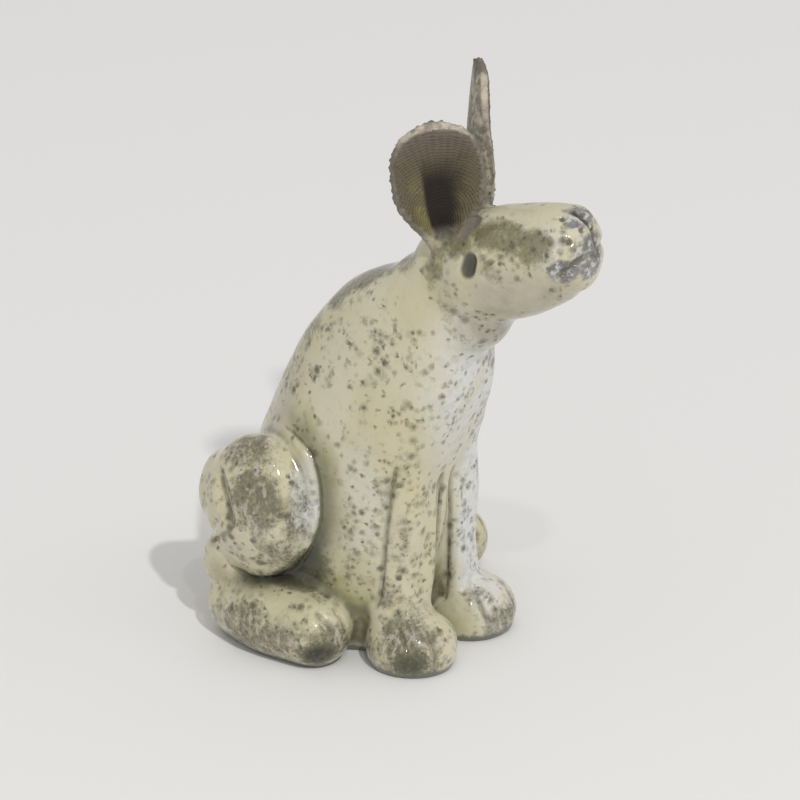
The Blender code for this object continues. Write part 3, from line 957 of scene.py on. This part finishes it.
fine = soft_noise(1.3, 5.0, 0.75)
middle = soft_noise(4.5, 3.0, 0.6)
torn = plus(number["olive"], swing(middle, 1.5))
crumbled = ramp(height, NECK_MM, HEAD_MM, 0.9, 0.4)
torn = plus(torn, swing(fine, crumbled))
haze = ramp(torn, 0.15, 0.9)
stretched = add_node(nodes, "ShaderNodeMapping", {"Vector": mm, "Scale": (1.0, 1.0, 0.32)})
streaks = ramp(soft_noise(1.7, 3.0, 0.6, vector=stretched), 0.5, 0.66)
tone = over(OLIVE, BROWN, ramp(soft_noise(7.0, 2.0), 0.45, 0.62))
tone = over(tone, OLIVE_DARK, ramp(plus(fine, times(haze, 0.12)), 0.56, 0.7))
tone = over(tone, OLIVE_GREEN, ramp(height, NECK_MM, HEAD_MM, 0.0, 0.4))
wiped = ramp(height, 105.0, 85.0, 0.08, 0.55)
tone = over(tone, LILAC, times(streaks, wiped))
colour = over(colour, tone, times(haze, 0.85))
grains = times(ramp(fine, 0.585, 0.66), ramp(number["olive"], 0.02, 0.4))
colour = over(colour, OLIVE_DARK, times(grains, ramp(height, NECK_MM, HEAD_MM, 0.75, 0.35)))
print("clouds laid")

# %% [markdown]
# ### Specks
#
# A Voronoi texture scatters one dot to a cell. The cell's random colour decides whether its dot shows at all,
# against the smoke that reached that spot, and how large and how dark it is. Two sizes of cell are laid over
# each other, and a little noise on the coordinates keeps the dots from being round.

# %% Smoke specks
SPECK, SPECK_HEART = "#77735c", "#4e4c3b"
SPECK_SIZES = ((3.1, 1.5, 3.0), (2.1, 0.95, 1.8))

crowd = ramp(plus(soft_noise(10, 1.0), times(soft_noise(4.5, 1.0), 0.6)), 0.74, 0.96)
chance = plus(0.1, times(crowd, 0.34))
drawn_in = times(number["smoke"], plus(0.16, times(crowd, 0.62)))
chance = plus(chance, drawn_in)
chance = worked("SUBTRACT", chance, times(number["bare"], 0.3))
wobble = add_node(nodes, "ShaderNodeTexNoise", {"Vector": mm, "Scale": 1 / 1.1, "Detail": 3.0}).outputs[1]
wobbled = add_node(nodes, "ShaderNodeVectorMath", {0: wobble, "Scale": 1.5}, operation="SCALE")
wobbled = add_node(nodes, "ShaderNodeVectorMath", {0: mm, 1: wobbled}, operation="ADD")
specks = 0.0
for cell, smallest, largest in SPECK_SIZES:
    dots = add_node(nodes, "ShaderNodeTexVoronoi", {"Vector": wobbled, "Scale": 1 / cell})
    luck = add_node(nodes, "ShaderNodeSeparateColor", {0: dots.outputs["Color"]})
    shown = ramp(plus(luck.outputs[0], chance), 0.98, 1.04)
    radius = add_node(
        nodes, "ShaderNodeMapRange", {"Value": luck.outputs[1], 3: smallest / cell, 4: largest / cell}
    )
    dot = ramp(worked("DIVIDE", dots.outputs["Distance"], radius), 1.0, 0.05)
    shown = times(shown, plus(0.55, times(luck.outputs[2], 0.45)))
    specks = worked("MAXIMUM", specks, times(dot, shown))
speck_tone = over(SPECK, SPECK_HEART, ramp(specks, 0.35, 0.85))
colour = over(colour, speck_tone, times(specks, 0.95))
print("specks fade out between", [sizes[1:] for sizes in SPECK_SIZES], "mm from their middle")

# %% [markdown]
# ### Slate, soot, painted shade and drawn lines
#
# The muzzle came out slate and plum. Soot stayed on the toes, and the dark ovals in the crevice under the
# haunch and in every narrow crease are painted shade. The foot rim is a thin grey band, darker towards the
# floor. Painted shade, green and darkest low down, lies on the body along the haunch's crease, and the drawn
# lines are dark only in their bottom, and not all along, because the glaze bridged them in places.

# %% Slate, soot and painted shade
SLATE, PLUM, INK, FOOT_RIM = "#74737c", "#5d5560", "#2c2d28", "#666860"

slate = plus(number["slate"], swing(middle, 1.3))
slate = plus(slate, swing(fine, 0.8))
slate = ramp(slate, 0.2, 0.9)
slate_tone = over(SLATE, PLUM, ramp(soft_noise(3.0), 0.42, 0.58))
slate_tone = over(slate_tone, MILK, ramp(soft_noise(2.4, 3.0, 0.6), 0.48, 0.62, 0.0, 0.7))
slate_tone = over(slate_tone, OLIVE_DARK, ramp(fine, 0.54, 0.66))
colour = over(colour, slate_tone, times(slate, 0.85))

# Soot on the toes and feet, and painted shade in the crevice under the haunch.
soot = plus(number["soot"], swing(fine, 1.8))
soot = ramp(soot, 0.15, 1.0, 0.0, 0.85)
# Painted shade: every narrow crease is darkened by its crease measure.
crease_shade = ramp(number["crease_mm"], 0.25, 1.2, 0.0, 0.75)
crease_shade = times(crease_shade, ramp(middle, 0.25, 0.55, 0.55, 1.0))
colour = over(colour, UMBER_GREEN, worked("MAXIMUM", soot, crease_shade))
# Dark flecks where these ovals are strongest, in the painted crevice shade as well as on the toes.
flecks = times(ramp(number["soot"], 0.85, 1.35), ramp(fine, 0.38, 0.56, 0.35, 0.95))
colour = over(colour, INK, flecks)
# A thin grey band at the foot, darker towards the floor.
rim = worked("SUBTRACT", height, times(soft_noise(3.5), 3.0))
colour = over(colour, FOOT_RIM, ramp(rim, 1.8, -0.2, 0.0, 0.95))
print("slate and soot laid")

# %% Painted shade by the haunch, creases, lines, pits and eyes
EYE_DARK, EYE_HEART = "#3c3c31", "#484639"


def marked(tone, tool, start, end, most):
    """The colour with a tool's path laid over it, from none at start mm from the path to most at end."""
    return over(colour, tone, ramp(number[tool + "_mm"], start, end, 0.0, most))


broken = ramp(soft_noise(4.0, 2.0), 0.42, 0.62, 0.15, 0.95)
inner = ramp(worked("ABSOLUTE", leftwards), 16.0, 10.0, 0.45, 0.9)
lines = times(times(ramp(number["body_lines_mm"], 0.5, 0.1), inner), broken)
# Painted shade on the body beside the haunch's crease, darker low down, and a painted shadow in the crevice at
# its foot.
from_edge = plus(number["haunch_edges_mm"], swing(middle, 3.0))
shade = times(ramp(from_edge, 10.0, 0.5), number["off_haunch"])
shade = times(shade, ramp(height, 72.0, 30.0, 0.55, 0.95))
colour = over(colour, UMBER_GREEN, shade)
crevice_shade = times(ramp(from_edge, 5.5, 0.4), number["off_haunch"])
colour = over(colour, INK, times(crevice_shade, ramp(height, 46.0, 28.0, 0.0, 0.85)))
crease = ramp(number["off_haunch"], 0.0, 0.3, 0.0, 0.8)
crease = times(ramp(number["haunch_edges_mm"], 0.9, 0.2), crease)
colour = over(colour, UMBER_GREEN, crease)
colour = marked(UMBER_GREEN, "hip_folds", 1.5, 0.2, 0.55)
colour = marked(UMBER_GREEN, "body_lines", 1.7, 0.5, 0.3)
colour = over(colour, INK, lines)
colour = marked(OLIVE_DARK, "mouth", 1.5, 0.3, 0.6)
colour = marked(INK, "nostrils", 0.75, 0.2, 0.9)
colour = marked(UMBER_GREEN, "pits", 1.35, 0.6, 0.85)
colour = marked(EYE_DARK, "eyes", 3.5, 2.0, 0.9)
colour = marked(EYE_HEART, "eyes", 2.0, 0.8, 0.6)
print("creases, lines, pits and eyes laid")

# %% [markdown]
# ### The cloth print in the ears
#
# Coarse scrim has about one thread to the millimetre. The slab was stretched into a funnel, so the rows of the
# print fan round its throat and the cross threads run out from it. Both are read from the sheet's own numbers,
# so they curl with the ear, and the print's troughs carry painted shade and its crests a painted highlight.
# The glaze is thin there, taupe over smoked clay, nearly black in the throat, where painted shade of the
# hollow lies over the dark clay, with some green left beside it.

# %% Rows and cross threads
THREAD_MM, THREADS_ROUND, THROAT_MM = 1.15, 78.0, 9.0

on_cloth = add_node(nodes, "ShaderNodeSeparateXYZ", {0: attribute("cloth_mm", "Vector")})
along, across, edge = (on_cloth.outputs[axis] for axis in "XYZ")
waver = times(soft_noise(6.0, 3.0), 3.0)
from_throat = worked("SUBTRACT", along, THROAT_MM)
reach = worked("SQRT", plus(worked("POWER", from_throat, 2.0), worked("POWER", across, 2.0)))
round_throat = worked("ARCTAN2", across, from_throat)
rows = worked("SINE", times(plus(reach, waver), math.tau / THREAD_MM))
picks = worked("SINE", times(round_throat, THREADS_ROUND))
weave = plus(rows, times(picks, 0.45))
inside_ear = times(number["ear"], ramp(number["slab_mm"], 0.7, 1.7))
print("cloth of", THREAD_MM, "mm rows")

# %% Ear colours
TAUPE, ROSE_TAUPE, UMBER, EAR_GREEN, PRINT_HIGHLIGHT = "#675e4b", "#6f655d", "#241d19", "#8f8a4e", "#a49a83"
EAR_BACK, EAR_RIM, EAR_LIP = "#8a857a", "#5a524a", "#c4b8a8"

from_middle = worked("ABSOLUTE", across)
ragged = swing(middle, 6.0)
# Darkest in the throat: dark smoked clay and painted shade in the funnel's hollow together.
throat = times(ramp(across, -6.3, -4.3), ramp(plus(across, ragged), 12.5, 2.5))
throat = times(throat, ramp(plus(along, ragged), 37.0, 23.0))
ear_colour = over(TAUPE, ROSE_TAUPE, times(ramp(along, 31.0, 39.0), 0.7))
beside = times(ramp(from_middle, 3.0, 6.5), ramp(from_middle, 12.0, 8.0))
beside = times(beside, ramp(across, -2.0, 2.0, 1.0, 0.4))
beside = times(beside, ramp(along, 30.0, 18.0))
ear_colour = over(ear_colour, EAR_GREEN, times(beside, ramp(middle, 0.42, 0.6, 0.1, 0.6)))
ear_colour = over(ear_colour, UMBER, times(throat, 0.97))
# Painted shade in the weave's troughs, and a painted highlight on its crests.
weave_shade_strength = ramp(soft_noise(3.2, 2.0), 0.35, 0.6, 0.25, 1.0)
ear_colour = over(ear_colour, UMBER, times(ramp(weave, 0.4, -1.3, 0.0, 0.36), weave_shade_strength))
print_highlight = times(ramp(weave, 0.8, 1.45, 0.0, 0.13), worked("SUBTRACT", 1.0, throat))
ear_colour = over(ear_colour, PRINT_HIGHLIGHT, times(print_highlight, weave_shade_strength))

back_colour = over(EAR_BACK, EAR_LIP, ramp(soft_noise(5.0, 3.0), 0.47, 0.62, 0.0, 0.8))
back_colour = over(back_colour, OLIVE_DARK, ramp(soft_noise(2.0, 4.0, 0.7), 0.48, 0.62, 0.0, 0.7))
cut = times(ramp(edge, 0.9, 0.15), number["ear"])
pale = worked("MAXIMUM", ramp(along, 37.0, 42.0, 0.15, 1.0), ramp(leftwards, 0.0, 2.0, 0.0, 0.8))
lip = times(ramp(worked("ABSOLUTE", number["slab_mm"]), 1.9, 0.7), pale)
rim_colour = over(EAR_RIM, EAR_LIP, times(lip, ramp(middle, 0.35, 0.55, 0.45, 1.0)))
back_colour = over(back_colour, rim_colour, times(cut, 0.95))
back_colour = over(back_colour, EAR_RIM, ramp(along, 47.5, 50.5, 0.0, 0.8))
colour = over(colour, back_colour, times(number["ear"], 0.95))
colour = over(colour, ear_colour, inside_ear)
print("ears coloured")

# %% [markdown]
# ### Surface
#
# Glaze has an index near 1.5 and flows almost level, so it is a glossy coat over a body that scatters light.
# The specks are a little matt, the ears much more so. The bump is in millimetres: the cloth print, a faint
# orange peel, and the dry grain of the ear backs.

# %% Gloss and relief
roughness = plus(0.42, times(specks, 0.15))
roughness = plus(roughness, times(number["ear"], 0.3))
relief = times(times(weave, inside_ear), 0.06)
relief = plus(relief, times(soft_noise(2.6, 2.0), 0.07))
relief = plus(relief, times(specks, -0.02))
dry = times(times(soft_noise(0.9, 3.0), number["ear"]), 0.3)
relief = plus(relief, dry)
bump = add_node(nodes, "ShaderNodeBump", {"Height": relief, "Distance": 0.001, "Strength": 1.0})
coat = worked("SUBTRACT", 0.8, times(number["ear"], 0.65))
surface = add_node(
    nodes,
    "ShaderNodeBsdfPrincipled",
    {
        "Base Color": colour,
        "Roughness": roughness,
        "Normal": bump,
        "IOR": 1.5,
        "Specular IOR Level": 0.2,
        "Coat Weight": coat,
        "Coat Roughness": 0.05,
        "Coat IOR": 1.5,
    },
)
add_node(nodes, "ShaderNodeOutputMaterial", {"Surface": surface})
clay.data.materials.clear()
clay.data.materials.append(glaze)
clay.data.shade_smooth()
print("glaze of", len(nodes.nodes), "nodes")

# %% [markdown]
# ## Studio
#
# The hare stands on a pale paper floor in an evenly bright room. A lamp, high up and to the right of the
# camera, gives the glaze its few bright points and draws the thin shadow along the left of the haunch. Its
# height was worked out from those two: the shadow is short, and the bright point sits above the haunch's
# middle. A weaker lamp beside it doubles the bright points, and a wide dim one, far round to the right,
# stands for a window.

# %% Floor
FLOOR_SIZE = 12.0
PAPER, ROOM, ROOM_STRENGTH = "#ecebe9", "#f3f2f2", 0.67

paper = bpy.data.materials.new("matt_backdrop_paper")
paper.use_nodes = True
paper_shader = paper.node_tree.nodes["Principled BSDF"]
paper_shader.inputs["Base Color"].default_value = linear(PAPER)
paper_shader.inputs["Roughness"].default_value = 0.9
paper_shader.inputs["Specular IOR Level"].default_value = 0.1
sheet = bmesh.new()
bmesh.ops.create_grid(sheet, x_segments=1, y_segments=1, size=FLOOR_SIZE / 2)
floor_mesh = bpy.data.meshes.new("floor")
sheet.to_mesh(floor_mesh)
sheet.free()
floor_mesh.materials.append(paper)
floor = placed("floor", floor_mesh)
print("floor", FLOOR_SIZE, "m wide")

# %% Lights
world = bpy.data.worlds.new("studio")
world.use_nodes = True
room = world.node_tree.nodes["Background"]
room.inputs["Color"].default_value = linear(ROOM)
room.inputs["Strength"].default_value = ROOM_STRENGTH
bpy.context.scene.world = world
bpy.context.scene.view_settings.view_transform = "Standard"

AIM = at(0, 20, 70)


def from_camera(to_the_right, height, distance):
    """A place so many degrees round from the camera's side of the hare and so many degrees up."""
    level = Vector((back.x, back.y, 0.0)).normalized() * math.cos(math.radians(to_the_right))
    level += right * math.sin(math.radians(to_the_right))
    raised = level * math.cos(math.radians(height)) + Vector((0, 0, math.sin(math.radians(height))))
    return AIM + raised * distance


LIGHTS = {
    "lamp": (from_camera(20, 46, 4.0), 0.12, 58.0),
    "second_lamp": (from_camera(9, 54, 4.0), 0.1, 10.0),
    "window": (from_camera(80, 35, 4.0), 1.6, 5.0),
}
for name, (place, size, watts) in LIGHTS.items():
    light = bpy.data.lights.new(name, "AREA")
    light.size = size
    light.energy = watts
    lamp = placed(name, light)
    lamp.location = place
    lamp.rotation_euler = (place - AIM).to_track_quat("Z", "Y").to_euler()
    lamp.visible_camera = False
print(len(LIGHTS), "lights")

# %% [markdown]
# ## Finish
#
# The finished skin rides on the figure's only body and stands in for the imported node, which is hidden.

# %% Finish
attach(clay, "root")
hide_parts("hare")
bpy.context.view_layer.update()
print(len(clay.data.polygons), "triangles in the finished piece")
